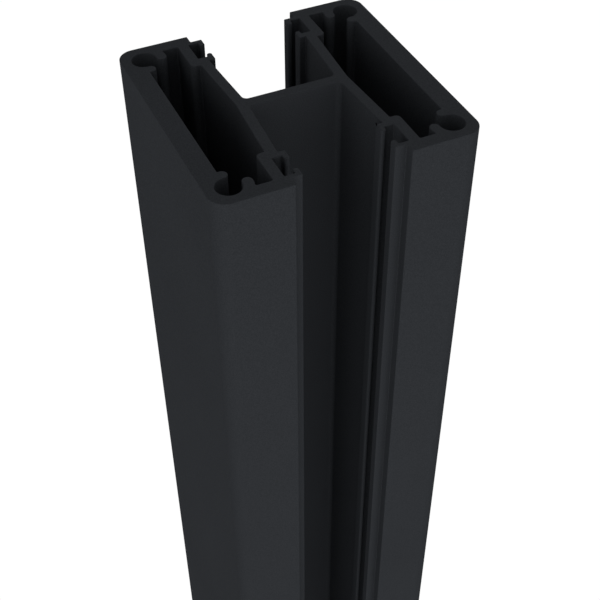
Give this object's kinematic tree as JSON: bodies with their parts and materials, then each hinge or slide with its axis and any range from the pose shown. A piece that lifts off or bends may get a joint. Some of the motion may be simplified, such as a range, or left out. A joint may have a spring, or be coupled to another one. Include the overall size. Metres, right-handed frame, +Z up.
{
  "type": "fence post",
  "caption": "Straight extruded fence post of H section, with hollow flanges, open board channels at front and back, gasket grooves at their mouths and screw ports in its corners.",
  "frame": {"origin": "centre of the section on the bottom end face", "axes": "+Z up the post, X across the web from flange to flange, Y out through the board channels, the front channel facing -Y"},
  "size_m": [0.07, 0.07, 1.9],
  "materials": {
    "powder_coat": "fine matt powder coat"
  },
  "bodies": {
    "root": {"post": "powder_coat"}
  },
  "joints": []
}
